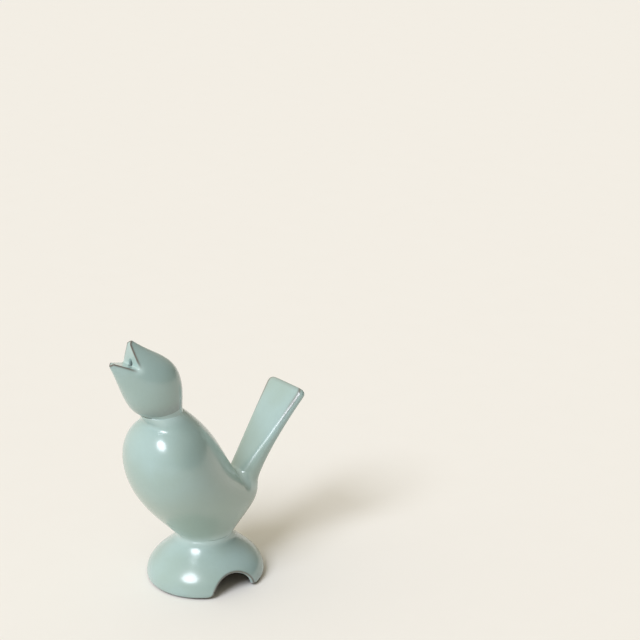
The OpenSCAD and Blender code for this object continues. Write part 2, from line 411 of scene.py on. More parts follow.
@dataclass(frozen=True)
class HeadForm:
    """Head from the neck to the tips of the open beak."""

    cast: Cast
    upper_beak: tuple[float, float] = (29.2, 100.0)
    lower_beak: tuple[float, float] = (38.4, 92.6)
    nape_leave: float = 96
    nape_reach: float = 20.4
    crown_slope: float = 40
    crown_reach: float = 16.6
    throat_leave: float = 19
    throat_low: float = 6.2
    chin_slope: float = 62
    chin_reach: float = 12
    cheek: float = 9.7
    beak_base: float = 9.8
    beak_tip: float = 1.2
    mouth: tuple[float, float] = (29.2, 90.0)
    lip: float = 1.1
    lip_round: float = 0.8
    corner_round: float = 2.2
    corner: float = 0.6
    corner_reach: float = 1.8
    lips_from: float = 0.3
    tip_share: float = 0.994
    vent_r: float = 1.1
    vent_lift: float = 0.5
    hollow: float = 0.5

    def crown(self, t: Array) -> Array:
        """Back line of the head: one cubic over nape and crown to the upper tip."""
        start, tip = self.cast.neck_edge(-1, self.cast.slip), np.array(self.upper_beak)
        return curve(t, start, start + self.nape_reach * heading(self.nape_leave),
                     tip - self.crown_reach * heading(self.crown_slope), tip)

    def throat(self, t: Array) -> Array:
        """Front line of the head: one cubic up the throat to the lower tip."""
        start, tip = self.cast.neck_edge(1, self.cast.slip), np.array(self.lower_beak)
        return curve(t, start, start + self.throat_low * heading(self.throat_leave),
                     tip - self.chin_reach * heading(self.chin_slope), tip)

    def at(self, t: Array, a: Array, grow: float = 0.0) -> Array:
        """Points of the head at shares t from neck to beak and angles a."""
        wide = curve(t, self.cast.neck_r, self.cheek, self.beak_base, self.beak_tip)
        return ring(self.throat(t), self.crown(t), wide, np.zeros(1), a, grow)

    def ring_at(self, t: float) -> Array:
        """One whole ring of the head, at a share of the way from neck to beak."""
        return self.at(np.full(SIDES, t), round_angles())

    def gape(self) -> tuple[Array, Array, float]:
        """Works out how the mouth lies between the two tips.

        Returns:
            Axis of the mouth, the direction across it to the upper lip, and half its angle.
        """
        m, upper, lower = (np.array(v) for v in (self.mouth, self.upper_beak, self.lower_beak))
        into = self.lip * unit(lower - upper)
        up, low = unit(upper + into - m), unit(lower - into - m)
        axis = unit(up + low)
        return axis, np.array([-axis[1], axis[0]]), math.acos(float(up @ low)) / 2

    def valley(self, across: Array) -> Array:
        """Height of the mouth's floor: two slopes met by a log of a hyperbolic cosine.

        Args:
            across: Distances across the mouth.

        Returns:
            Heights along the mouth's axis.
        """
        half = self.gape()[2]
        bend = across * math.cos(half) / self.corner
        return self.corner / math.sin(half) * np.logaddexp(bend, -bend)

    def lip_reach(self, height: Array) -> Array:
        """Undoes valley: how far across the floor has risen to a height.

        Args:
            height: Heights along the mouth's axis.

        Returns:
            Distances across the mouth.
        """
        half = self.gape()[2]
        rise = np.maximum(np.exp(height * math.sin(half) / self.corner) / 2, 1)
        return self.corner / math.cos(half) * np.arccosh(rise)

    def in_mouth(self, points: Array) -> tuple[Array, Array]:
        """Measures points in the mouth's own axes.

        Args:
            points: Points (x, forward, up).

        Returns:
            Heights along the mouth's axis, and distances across it.
        """
        axis, across, _ = self.gape()
        rel = points[..., 1:] - np.array(self.mouth)
        return rel @ axis, rel @ across

    def mouth_at(self, x: Array, across: Array, height: Array) -> Array:
        """Undoes in_mouth.

        Args:
            x: Distances from the middle plane.
            across: Distances across the mouth.
            height: Heights along the mouth's axis.

        Returns:
            Points (x, forward, up).
        """
        axis, side, _ = self.gape()
        flat = np.array(self.mouth) + height[..., None] * axis + across[..., None] * side
        return np.concatenate([x[..., None], flat], -1)

    def over_floor(self, t: Array, a: Array) -> Array:
        """Height of the head's points over the floor of the mouth, negative below it."""
        height, across = self.in_mouth(self.at(t, a))
        return height - self.valley(across)

    def lips(self, a: Array) -> Array:
        """Share t at which each line of the head rises through the floor of the mouth, or its tip."""
        low, high = np.full(a.shape, self.lips_from), np.full(a.shape, self.tip_share)
        return bisect(lambda t: self.over_floor(t, a), low, high)


@dataclass(frozen=True)
class TailForm:
    """Flat tail that rises from the rump, wider towards its end."""

    root: tuple[float, float] = (-7.8, 30.2)
    tip: tuple[float, float] = (-38.4, 67.6)
    tip_t: float = 4.6
    under_root: tuple[float, float] = (-22.0, 27.6)
    under_leave: float = 99
    under_reach: float = 13
    straight: float = 13.2
    root_w: float = 10
    stem_w: float = 12.4
    tip_w: float = 21
    corner: float = 3
    squareness: tuple[float, float] = (0.85, 0.7)
    square_by: float = 0.7
    end_round: float = 1.5
    least_half: float = 0.2

    def axis(self) -> Array:
        """Direction of the front face, from root to tip."""
        return unit(np.array(self.tip) - np.array(self.root))

    def length(self) -> float:
        """Length of the front face."""
        return float(np.linalg.norm(np.array(self.tip) - np.array(self.root)))

    def front(self, t: Array) -> Array:
        """Straight front face."""
        return np.array(self.root) + np.multiply.outer(t, self.length() * self.axis())

    def under(self, t: Array) -> Array:
        """Underside: one cubic from the rump to the tip.

        Args:
            t: Shares of the way from root to tip.

        Returns:
            Points [forward, up].
        """
        start = np.array(self.under_root)
        end = np.array(self.tip) + self.tip_t * np.array([-self.axis()[1], self.axis()[0]])
        return curve(t, start, start + self.under_reach * heading(self.under_leave),
                     end - self.straight * self.axis(), end)

    def at(self, t: Array, a: Array) -> Array:
        """Points of the tail: a superellipse between front face and underside.

        The end is rounded: within end_round of it the section draws in by a quarter circle, and
        the outline's corners draw in by a larger one.

        Args:
            t: Shares of the way from root to tip.
            a: Angles round the section; a quarter turn is the front face.

        Returns:
            Points (x, forward, up).
        """
        left = (1 - t) * self.length()
        wide = curve(t, self.root_w, self.stem_w, (self.stem_w + self.tip_w) / 2, self.tip_w) / 2
        turn = np.clip(1 - left / self.corner, 0, 1)
        wide = wide - self.corner * (1 - np.sqrt(1 - turn * turn))
        over = np.clip(1 - left / self.end_round, 0, 1)
        drawn = self.end_round * (1 - np.sqrt(1 - over * over))
        mid, reach = (self.front(t) + self.under(t)) / 2, (self.front(t) - self.under(t)) / 2
        thick = np.linalg.norm(reach, axis=-1)
        scale = (thick - np.minimum(drawn, thick - self.least_half)) / thick
        s, c = np.sin(a), np.cos(a)
        first, last = self.squareness
        power = first + (last - first) * smooth(t / self.square_by)
        x = wide * np.sign(c) * np.abs(c) ** power
        along = mid + reach * (scale * np.sign(s) * np.abs(s) ** power)[..., None]
        return np.concatenate([x[..., None], along], axis=-1)


@dataclass(frozen=True)
class FootForm:
    """Domed foot with an arch through both flanks and a rounded lower edge."""

    cast: Cast
    foot_r: float = 21.9
    belly_z: float = 1.9
    rim_w: float = 2.6
    rim_inset: float = 1.5
    dome_rise: float = 7.5
    dome_crown: float = 5.0
    dome_slope: float = 87
    dome_points: int = 160
    belly_points: int = 40
    arch_r: float = 8.3
    arch_rise: float = 0.9
    arch_forward: float = 1.6
    toe_round: float = 3.2
    hem_density: tuple[float, ...] = (1, 3, 1.4, 3, 1)
    lip: float = 1.3
    rim_lip: float = 0.4

    def rim_r(self) -> float:
        """Outer radius of the ring that the foot stands on."""
        return self.foot_r - self.rim_inset

    def radius(self, z: Array, inner: bool) -> Array:
        """Radius of the outer or inner face at a height.

        Outside: a quarter ellipse up to the belly, then a cubic to the waist. Inside: a straight
        line, then a cubic to the bore.

        Args:
            z: Heights above the floor.
            inner: Whether the inner face is meant.

        Returns:
            Distances from the foot's axis.
        """
        c = self.cast
        t = np.linspace(0, 1, self.dome_points)
        shrink = c.wall if inner else 0.0
        belly = np.array([self.foot_r - shrink, self.belly_z])
        top = np.array([c.waist_r - shrink, c.foot_h - shrink])
        slope = self.dome_crown * heading(-self.dome_slope)
        dome = curve(t, belly, belly + np.array([0, self.dome_rise]), top + slope, top)
        if inner:
            low = np.array([[self.rim_r() - self.rim_w, 0.0]])
        else:
            q = np.linspace(0, math.pi / 2, self.belly_points, endpoint=False)
            low = np.stack([self.rim_r() + self.rim_inset * np.sin(q), self.belly_z * (1 - np.cos(q))], -1)
        line = np.concatenate([low, dome])
        return np.interp(z, line[:, 1], line[:, 0])

    def ring_at(self, z: float) -> Array:
        """Circle of the outer face at a height."""
        return circle(float(self.radius(np.array(z), False)), z)

    def hem(self, count: int) -> tuple[Array, Array, Array]:
        """Lower edge of one flank, from the front over the arch to the back.

        Straight along the floor, a round toe, the arch's circle, a round toe and the floor again,
        sampled by length with more points on the toes, and drawn down by the arch's rise.

        Args:
            count: Number of points.

        Returns:
            Points [forward, up] with forward taken at the rim's radius, unit directions into the
            wall, and the share, from 0 to 1, to which the edge runs straight across the wall.
        """
        c, big, small, rim = self.arch_forward, self.arch_r, self.toe_round, self.rim_r()
        side = math.sqrt((big + small) ** 2 - small**2)
        lift = math.atan2(small, side)
        ends = math.acos((c + side) / rim), math.acos((c - side) / rim)
        quarter = math.pi / 2 - lift
        lengths = np.array([rim * ends[0], small * quarter, big * (math.pi - 2 * lift),
                            small * quarter, rim * (math.pi - ends[1])])
        marks = np.concatenate([[0], np.cumsum(lengths * np.array(self.hem_density))])
        s = np.linspace(0, marks[-1], count)
        part = np.clip(np.searchsorted(marks, s, side="right") - 1, 0, len(lengths) - 1)
        v = (s - marks[part]) / np.diff(marks)[part]
        floor_f, floor_b = v * ends[0], ends[1] + v * (math.pi - ends[1])
        toe_f, toe_b = -math.pi / 2 - v * quarter, -lift - v * quarter
        arch = lift + v * (math.pi - 2 * lift)
        flat = np.zeros_like(v)
        up = np.stack([flat, flat + 1], -1)
        points = np.stack([np.stack([rim * np.cos(floor_f), flat], -1),
                           np.array([c + side, small]) + small * polar(toe_f),
                           np.array([c, 0]) + big * polar(arch),
                           np.array([c - side, small]) + small * polar(toe_b),
                           np.stack([rim * np.cos(floor_b), flat], -1)])
        into = np.stack([up, -polar(toe_f), polar(arch), -polar(toe_b), up])
        across = np.stack([smooth(v), flat + 1, flat + 1, flat + 1, smooth(1 - v)])
        pick = part, np.arange(count)
        rise = np.array([1.0, self.arch_rise])
        return points[pick] * rise, unit(into[pick] / rise), across[pick]


# Sub-assemblies


@dataclass
class Foot:
    """Domed foot of the bird.

    The glaze stops at bare_from of the way through the wall and at the height of bare_rim. The brown
    line on the arch lies arch_line degrees round the rolled lip.
    """

    form: FootForm
    columns: int = 150
    outer_rows: int = 44
    inner_rows: int = 24
    lip_rows: int = 13
    bare_from: float = 0.5
    bare_fade: float = 0.3
    bare_rim: float = 0.7
    rim_fade: float = 0.2
    rim_line: float = 0.22
    rim_share: float = 0.3
    arch_line: float = 32
    arch_line_wide: float = 18
    waist_pool_and_glint: float = 1.8

    def skin(self) -> Skin:
        """Outer dome, rolled lower edge, inner dome and bore as one closed grid.

        A column starts on the hem; the roll goes from the outer to the inner face by
        (1 - cos f) / 2 of the wall and stands h = lip (1 - sin f) inside the hem.

        Returns:
            The foot with its masks.
        """
        form, c = self.form, self.form.cast
        hem, into, across = form.hem(self.columns)
        f = np.linspace(0, math.pi, self.lip_rows)[:, None]
        lip = form.rim_lip + (form.lip - form.rim_lip) * across
        h, w = lip * (1 - np.sin(f)), (1 - np.cos(f)) / 2
        z = hem[:, 1] + into[:, 1] * h
        p = hem[:, 0] + into[:, 0] * h
        r = (1 - w) * form.radius(z, False) + w * form.radius(z, True)
        p = p * ((1 - across) * r / form.rim_r() + across)
        x = np.sqrt(np.maximum(r * r - p * p, 0))
        roll = np.stack([x, p, z], -1)
        outer = self.dome(roll[0], c.foot_h, self.outer_rows, False)[::-1]
        inner = self.dome(roll[-1], c.foot_h - c.wall, self.inner_rows, True)
        bore = inner[-1:] + np.array([0, 0, c.wall])
        half = np.concatenate([outer, roll[1:], inner[1:], bore])
        mirrored = half[:, -2:0:-1] * np.array([-1, 1, 1])
        skin = Skin("foot", np.concatenate([half, mirrored], axis=1))
        depth = np.concatenate([np.zeros(len(outer)), w[1:, 0], np.ones(len(inner))])
        self.dress(skin, depth[:, None], np.concatenate([across, across[-2:0:-1]]))
        return skin

    def dome(self, start: Array, top: float, rows: int, inner: bool) -> Array:
        """Rows up the dome: height and bearing run evenly, on a surface of revolution.

        Args:
            start: Line of points at the bottom.
            top: Height of the last row, where the columns are evenly spaced.
            rows: Number of rows.
            inner: Whether the inner face is meant.

        Returns:
            Grid of points.
        """
        v = np.linspace(0, 1, rows)[:, None]
        height = start[:, 2] + v * (top - start[:, 2])
        turn = np.arctan2(start[:, 0], start[:, 1])
        turn = turn + (np.linspace(0, math.pi, self.columns) - turn) * v
        radius = self.form.radius(height, inner)
        return np.stack([radius * np.sin(turn), radius * np.cos(turn), height], -1)

    def dress(self, skin: Skin, depth: Array, in_arch: Array) -> None:
        """Bare clay inside and under the rim, thin lines on rim and arch, and pooled glaze at the waist,
        paler also as a painted highlight below the crease.

        Args:
            skin: Foot to dress.
            depth: Share of the wall that each row has crossed.
            in_arch: Share to which each column belongs to the arch.
        """
        height = skin.points[..., 2]
        inside = smooth((depth - self.bare_from) / self.bare_fade)
        skin.masks[Mask.BARE] = np.maximum(inside, smooth((self.bare_rim - height) / self.rim_fade))
        rim = bell((height - self.bare_rim) / self.rim_line) * (depth < self.bare_from)
        rolled = np.degrees(np.arccos(1 - 2 * depth))
        arch = bell((rolled - self.arch_line) / self.arch_line_wide) * in_arch
        skin.masks[Mask.EDGE] = np.maximum(self.rim_share * rim, arch)
        # pooled glaze at the waist, and a painted highlight below the crease
        skin.masks[Mask.POOL_AND_GLINT] = nearness(skin.points, self.form.cast.waist_line(), self.waist_pool_and_glint)


@dataclass
class Body:
    """Egg-shaped body with its hollow."""

    form: BodyForm
    rows: int = 150
    inner_step: int = 3
    ring_pool_and_glint: float = 2.2
    tail_pool: float = 2.0

    def skin(self, tail_line: Array) -> Skin:
        """Outer and inner walls as one closed grid: rings up the outside, then down the inside.

        Args:
            tail_line: Line along which the tail meets the body.

        Returns:
            The body with its masks.
        """
        t, a = np.linspace(0, 1, self.rows)[:, None], round_angles()[None, :]
        outer = self.form.at(t, a)
        inner = self.form.at(t[::-self.inner_step], a, -self.form.cast.wall)
        skin = Skin("body", np.concatenate([outer, inner]))
        self.dress(skin, outer[-1], tail_line)
        return skin

    def dress(self, skin: Skin, neck_line: Array, tail_line: Array) -> None:
        """Pooled glaze along the three joints, paler also as painted highlights in the waist and neck
        creases, and bare clay inside.

        Args:
            skin: Body to dress.
            neck_line: Upper edge of the body.
            tail_line: Line along which the tail meets the body.
        """
        joints = [(self.form.cast.waist_line(), self.ring_pool_and_glint), (neck_line, self.ring_pool_and_glint),
                  (tail_line, self.tail_pool)]
        # pooled glaze, and painted highlights along the waist and neck creases
        pools = [nearness(skin.points, line, reach) for line, reach in joints]
        skin.masks[Mask.POOL_AND_GLINT] = np.maximum.reduce(pools)
        skin.masks[Mask.BARE] = (np.arange(len(skin.points)) > self.rows).astype(float)[:, None]


@dataclass
class Head:
    """Singing head: cheeks, rolled lips, mouth, steam hole and hollow."""

    form: HeadForm
    rows: int = 120
    lip_rows: int = 11
    crest_row: int = 2
    mouth_rows: int = 22
    tube_rows: int = 4
    hollow_rows: int = 16
    share_step: float = 0.01
    lip_line: float = 0.42
    parted_from: float = 0.4
    parted_fade: float = 1.6
    parted_least: float = 0.05
    # painted glint at the mouth's corner, and pooled glaze with painted sheen inside the mouth
    corner_glint: float = 1.3
    mouth_pool_and_sheen: float = 0.7
    # painted shade under the head: wide along the neck, strong along the seam
    nape_reach: float = 4.6
    nape_shade_share: float = 0.42
    seam_shade_reach: float = 1.0
    seam_shade_share: float = 0.7

    def skin(self) -> Skin:
        """Head as one closed grid, carried from the neck over the lips into the steam hole.

        Outside, every line runs from the neck to just below the edge of the mouth. The lip is a
        cubic from there, drawn towards the edge and, at the tips, towards the inner edge of the
        lip. Inside, places across the mouth are mixed from the lip to the steam hole and lie on
        the mouth's floor. The hollow follows the outside at the wall's thickness.

        Returns:
            The head with its masks.
        """
        form, a = self.form, round_angles()
        edge_t = form.lips(a)
        edge = form.at(edge_t, a)
        speed = np.linalg.norm(edge - form.at(edge_t - self.share_step, a), axis=-1) / self.share_step
        height, across = form.in_mouth(edge)
        reach = np.minimum(np.abs(across), form.lip_reach(height)) * np.sign(across)
        roll = form.lip_round + form.corner_round * bell(reach / form.corner_reach)
        outer = form.at(np.linspace(0, 1, self.rows)[:, None] * (edge_t - roll / speed), a)
        hole_x, hole_q = form.vent_r * np.cos(a), form.vent_lift - form.vent_r * np.sin(a)
        first = roll / np.hypot(edge[:, 0] - hole_x, reach - hole_q)
        m = first + (1 - first) * np.linspace(0, 1, self.mouth_rows)[:, None]
        q = reach + (hole_q - reach) * m
        floor = form.mouth_at(edge[:, 0] + (hole_x - edge[:, 0]) * m, q, form.valley(q))
        inner_edge = form.mouth_at(edge[:, 0], reach, form.valley(reach))
        lip = curve(np.linspace(0, 1, self.lip_rows)[1:-1], outer[-1], edge, inner_edge, floor[0])
        hollow_t = np.linspace(form.hollow, 0, self.hollow_rows)[:, None]
        hollow = form.at(hollow_t, a, -form.cast.wall)
        axis = np.array([0.0, *form.gape()[0]])
        bore = (floor[-1].mean(0) - hollow[0].mean(0)) @ axis
        tube = floor[-1] - axis * bore * np.linspace(0, 1, self.tube_rows)[1:, None, None]
        skin = Skin("head", np.concatenate([outer, lip, floor, tube, hollow]))
        self.dress(skin, outer[0], lip[self.crest_row], reach)
        return skin

    def dress(self, skin: Skin, neck_line: Array, crest: Array, reach: Array) -> None:
        """Thin lines on the lips, painted shade under the head along the neck and its seam, pooled glaze with
        a painted glint in the mouth, and bare clay in the hollow.

        Args:
            skin: Head to dress.
            neck_line: Lower edge of the head.
            crest: Line along the lips.
            reach: Distance across the mouth of each point of that line.
        """
        points, row = skin.points, np.arange(len(skin.points))[:, None]
        parted = smooth((np.abs(reach) - self.parted_from) / self.parted_fade)
        on_lip = parted > self.parted_least
        # thin glaze on the lips, and painted shade under the head along the neck and the seam
        skin.masks[Mask.EDGE] = np.maximum.reduce([
            nearness(points, crest[on_lip], self.lip_line) * parted,
            nearness(points, neck_line, self.nape_reach) * self.nape_shade_share,
            nearness(points, neck_line, self.seam_shade_reach) * self.seam_shade_share,
        ])
        inside = row > len(points) - self.hollow_rows - self.tube_rows
        in_mouth = (row >= self.rows + self.lip_rows // 2) & ~inside
        skin.masks[Mask.BARE] = inside.astype(float)
        # pooled glaze in the mouth, paler also as a painted glint at its corner and painted sheen inside
        skin.masks[Mask.POOL_AND_GLINT] = np.maximum(nearness(points, crest[~on_lip], self.corner_glint),
                                           self.mouth_pool_and_sheen * in_mouth)


@dataclass
class Tail:
    """Raised tail, cut where it meets the body."""

    form: TailForm
    body: BodyForm
    rows: int = 110
    end_rows: int = 14
    cap_rows: int = 6
    end_share: float = 0.95
    sunk: float = 0.02
    meets_by: float = 0.8
    ridge_at: float = 30
    ridge_wide: float = 10
    ridge_share: float = 0.8
    ridge_from: float = 0.55
    ridge_fade: float = 0.35
    end_from: float = 0.955
    end_fade: float = 0.03
    end_line: float = 0.15
    end_faces: float = 0.2
    pool: float = 2.0

    def meets(self, a: Array) -> Array:
        """Share t at which each line of the tail leaves the body, by halving."""
        low, high = np.zeros(a.shape), np.full(a.shape, self.meets_by)
        return bisect(lambda t: self.body.depth(self.form.at(t, a)), low, high)

    def line(self) -> Array:
        """Line along which tail and body meet."""
        a = round_angles()
        return self.form.at(self.meets(a), a)

    def skin(self) -> Skin:
        """Tail from just inside the body to its rounded end, closed at both ends by a point.

        The shares from root to tip run evenly, and by a sine over the rounded end.

        Returns:
            The tail with its masks.
        """
        a = round_angles()
        start = np.maximum(self.meets(a) - self.sunk, 0)
        even = np.linspace(0, 1, self.rows)[:-1] * self.end_share
        eased = np.sin(np.linspace(0, math.pi / 2, self.end_rows)) * (1 - self.end_share)
        v = np.concatenate([even, self.end_share + eased])[:, None]
        t = start + (1 - start) * v
        sheet = self.form.at(t, a)
        shrink = np.linspace(1, 0, self.cap_rows + 1)[1:, None, None]
        root, end = sheet[0].mean(0), sheet[-1].mean(0)
        low_cap, high_cap = root + (sheet[0] - root) * shrink, end + (sheet[-1] - end) * shrink
        skin = Skin("raised_tail", np.concatenate([low_cap[::-1], sheet, high_cap]), closed_rows=False)
        cap = np.ones((self.cap_rows, SIDES))
        self.dress(skin, np.concatenate([0 * cap, t, cap]))
        return skin

    def dress(self, skin: Skin, share: Array) -> None:
        """Thin lines along the ridges and round the end, and a pool at the root.

        Args:
            skin: Tail to dress.
            share: Share of the way from root to tip of every point.
        """
        a = round_angles()
        turn = np.degrees(np.arctan2(np.abs(np.sin(a)), np.abs(np.cos(a))))
        ridge = self.ridge_share * bell((turn - self.ridge_at) / self.ridge_wide)
        ridge = ridge * smooth((share - self.ridge_from) / self.ridge_fade)
        ends = self.end_line * smooth((share - self.end_from) / self.end_fade)
        skin.masks[Mask.EDGE] = np.maximum(ridge, ends * (np.abs(np.sin(a)) > self.end_faces))
        skin.masks[Mask.POOL_AND_GLINT] = nearness(skin.points, self.line(), self.pool)


@dataclass
class Joint:
    """Fillet of slip and pooled glaze where two cast pieces meet, paler in the middle also as a painted
    highlight along the crease.
    """

    name: str
    rows: int = 17
    handle: float = 0.45
    pool: float = 2.2

    def skin(self, low: Array, leave: Array, high: Array, arrive: Array, inside: Array) -> Skin:
        """Closed ring whose section is a cubic that runs into the faces of both pieces.

        Args:
            low, high: Lines on the two pieces where the fillet starts and ends.
            leave, arrive: Unit directions of the two faces along the section.
            inside: Line hidden in the walls, which closes the section.

        Returns:
            The ring with its masks.
        """
        span = self.handle * np.linalg.norm(high - low, axis=-1, keepdims=True)
        arc = curve(np.linspace(0, 1, self.rows), low, low + span * leave, high - span * arrive, high)
        skin = Skin(self.name, np.concatenate([arc, inside[None]]), sharp_rows=(0, self.rows - 1))
        # pooled glaze, and a painted highlight along the middle of the fillet
        skin.masks[Mask.POOL_AND_GLINT] = nearness(skin.points, arc[self.rows // 2], self.pool)
        return skin


@dataclass
class PieBird:
    """The whole bird: four cast pieces and the three joints between them."""

    cast: Cast = field(default_factory=Cast)
    foot_fillet: float = 0.9
    waist_fillet: float = 0.012
    waist_hidden: float = 0.8
    shoulder_fillet: float = 0.9
    throat_fillet: float = 0.03
    neck_hidden: float = 0.75
    tail_fillet: float = 6.0
    tail_narrower: float = 0.75
    tail_wider: float = 0.3
    tail_hidden: float = 1.0
    height_step: float = 0.05
    share_step: float = 0.004

    def skins(self) -> list[tuple[Skin, str, Slot]]:
        """Works out every piece.

        Returns:
            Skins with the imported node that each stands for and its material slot.
        """
        foot, body = Foot(FootForm(self.cast)), Body(BodyForm(self.cast))
        head, tail = Head(HeadForm(self.cast)), Tail(TailForm(), body.form)
        return [
            (foot.skin(), "foot_dome", Slot.GLAZE),
            (self.waist_joint(foot.form, body.form), "waist_slip", Slot.SLIP),
            (body.skin(tail.line()), "body_shell", Slot.GLAZE),
            (self.neck_joint(body.form, head.form), "neck_slip", Slot.SLIP),
            (head.skin(), "head_shell", Slot.GLAZE),
            (self.tail_joint(tail), "tail_slip", Slot.SLIP),
            (tail.skin(), "tail", Slot.GLAZE),
        ]

    def waist_joint(self, foot: FootForm, body: BodyForm) -> Skin:
        """Fillet between the top of the foot and the bottom of the body.

        Args:
            foot, body: Forms that the fillet runs into.

        Returns:
            The fillet's ring.
        """
        low = way(foot.ring_at, self.cast.foot_h - self.foot_fillet, self.height_step)
        high = way(body.ring_at, self.waist_fillet, self.share_step)
        hidden = self.cast.waist_line() * np.array([self.waist_hidden, self.waist_hidden, 1])
        return Joint("waist_joint").skin(*low, *high, hidden)

    def neck_joint(self, body: BodyForm, head: HeadForm) -> Skin:
        """Fillet between the shoulders and the head.

        Args:
            body, head: Forms that the fillet runs into.

        Returns:
            The fillet's ring.
        """
        low = way(body.ring_at, self.shoulder_fillet, self.share_step)
        high = way(head.ring_at, self.throat_fillet, self.share_step)
        seam = (body.ring_at(1.0) + head.ring_at(0.0)) / 2
        middle = seam.mean(0)
        return Joint("neck_joint").skin(*low, *high, middle + (seam - middle) * self.neck_hidden)

    def tail_joint(self, tail: Tail) -> Skin:
        """Fillet round the root of the tail, narrow in front and wide under it.

        From the line where the two meet, one edge goes up the tail and the other goes over the
        body along the part of the tail's normal that lies in the body's surface.

        Args:
            tail: Tail on its body.

        Returns:
            The fillet's ring.
        """
        a = round_angles()
        t, line = tail.meets(a), tail.line()
        in_front, beneath = np.clip(np.sin(a), 0, 1), np.clip(-np.sin(a), 0, 1)
        reach = self.tail_fillet * (1 - self.tail_narrower * in_front + self.tail_wider * beneath)
        up = t + reach / tail.form.length()
        high, arrive = way(lambda step: tail.form.at(up + step, a), 0.0, self.share_step)
        around = np.roll(line, -1, 0) - np.roll(line, 1, 0)
        face = unit(np.cross(around, high - line))
        face = face * np.sign(((line - line.mean(0)) * face).sum(-1, keepdims=True))
        out = unit(tail.body.slope(line))
        over = unit(face - (face * out).sum(-1, keepdims=True) * out)
        low = tail.body.settle(line + over * reach[:, None])
        out_low = unit(tail.body.slope(low))
        leave = unit(-over + (over * out_low).sum(-1, keepdims=True) * out_low)
        return Joint("tail_joint").skin(low, leave, high, arrive, line - self.tail_hidden * out)


# Finishes


class Value:
    """A number socket that takes part in Python expressions."""

    def __init__(self, net: "Net", socket: "bpy.types.NodeSocket | None") -> None:
        """Keeps the net that the socket belongs to."""
        self.net, self.socket = net, socket

    def _math(self, operation: str, first: "Value | float", second: "Value | float") -> "Value":
        """Adds a Math node with two inputs."""
        return self.net.node("ShaderNodeMath", {"operation": operation}, {0: first, 1: second})

    def __add__(self, other: "Value | float") -> "Value":
        """Sum."""
        return self._math("ADD", self, other)

    def __radd__(self, other: float) -> "Value":
        """Sum with the number first."""
        return self._math("ADD", other, self)

    def __sub__(self, other: "Value | float") -> "Value":
        """Difference."""
        return self._math("SUBTRACT", self, other)

    def __rsub__(self, other: float) -> "Value":
        """Difference with the number first."""
        return self._math("SUBTRACT", other, self)

    def __mul__(self, other: "Value | float") -> "Value":
        """Product."""
        return self._math("MULTIPLY", self, other)

    def __rmul__(self, other: float) -> "Value":
        """Product with the number first."""
        return self._math("MULTIPLY", other, self)


class Net:
    """Node tree of a material or of the world."""

    def __init__(self, tree: bpy.types.NodeTree) -> None:
        """Empties the tree."""
        self.tree = tree
        self.tree.nodes.clear()

    def node(self, kind: str, settings: dict | None = None, inputs: dict | None = None,
             output: str | int = 0) -> Value:
        """Adds a node.

        Args:
            kind: Type of the node.
            settings: Properties to set first.
            inputs: Values or links by socket name or number.
            output: Socket to hand back.

        Returns:
            The wrapped output socket.
        """
        made = self.tree.nodes.new(kind)
        for key, value in (settings or {}).items():
            setattr(made, key, value)
        for key, value in (inputs or {}).items():
            if isinstance(value, Value):
                self.tree.links.new(value.socket, made.inputs[key])
            else:
                made.inputs[key].default_value = value
        return Value(self, made.outputs[output] if made.outputs else None)

    def mask(self, mask: Mask) -> Value:
        """Reads a point attribute."""
        return self.node("ShaderNodeAttribute", {"attribute_name": mask.value}, output="Fac")

    def place(self) -> Value:
        """Object coordinates."""
        return self.node("ShaderNodeTexCoord", output="Object")

    def noise(self, scale: float, detail: float = 2.0) -> Value:
        """Noise on object coordinates."""
        inputs = {"Vector": self.place(), "Scale": scale, "Detail": detail}
        return self.node("ShaderNodeTexNoise", inputs=inputs, output="Fac")

    def height(self) -> Value:
        """Height above the floor in metres, from object coordinates."""
        return self.node("ShaderNodeSeparateXYZ", inputs={0: self.place()}, output="Z")

    def step(self, value: Value, low: float, high: float) -> Value:
        """Eased ramp from 0 at low to 1 at high."""
        return self.node("ShaderNodeMapRange", {"interpolation_type": "SMOOTHSTEP"},
                         {"Value": value, "From Min": low, "From Max": high})

    def mix(self, share: Value | float, first: Value | Colour, second: Value | Colour) -> Value:
        """Mixes two colours."""
        return self.node("ShaderNodeMix", {"data_type": "RGBA"}, {0: share, 6: first, 7: second}, output=2)

    def finish(self, **inputs: Value | float | Colour) -> None:
        """Ends the tree in a Principled shader.

        Args:
            inputs: Socket names, with underscores for spaces, and what they get.
        """
        named = {key.replace("_", " "): value for key, value in inputs.items()}
        shader = self.node("ShaderNodeBsdfPrincipled", inputs=named)
        self.node("ShaderNodeOutputMaterial", inputs={"Surface": shader})


def new_material(name: str) -> tuple[bpy.types.Material, Net]:
    """Starts a material.

    Args:
        name: Name of the material.

    Returns:
        The material and the net that fills it.
    """
    material = bpy.data.materials.new(name)
    material.use_nodes = True
    return material, Net(material.node_tree)


def linear(red: int, green: int, blue: int) -> Colour:
    """Colour given as it looks on screen, 0 to 255, as linear light."""
    parts = [v / 255 for v in (red, green, blue)]
    return (*[p / 12.92 if p <= 0.04045 else ((p + 0.055) / 1.055) ** 2.4 for p in parts], 1.0)


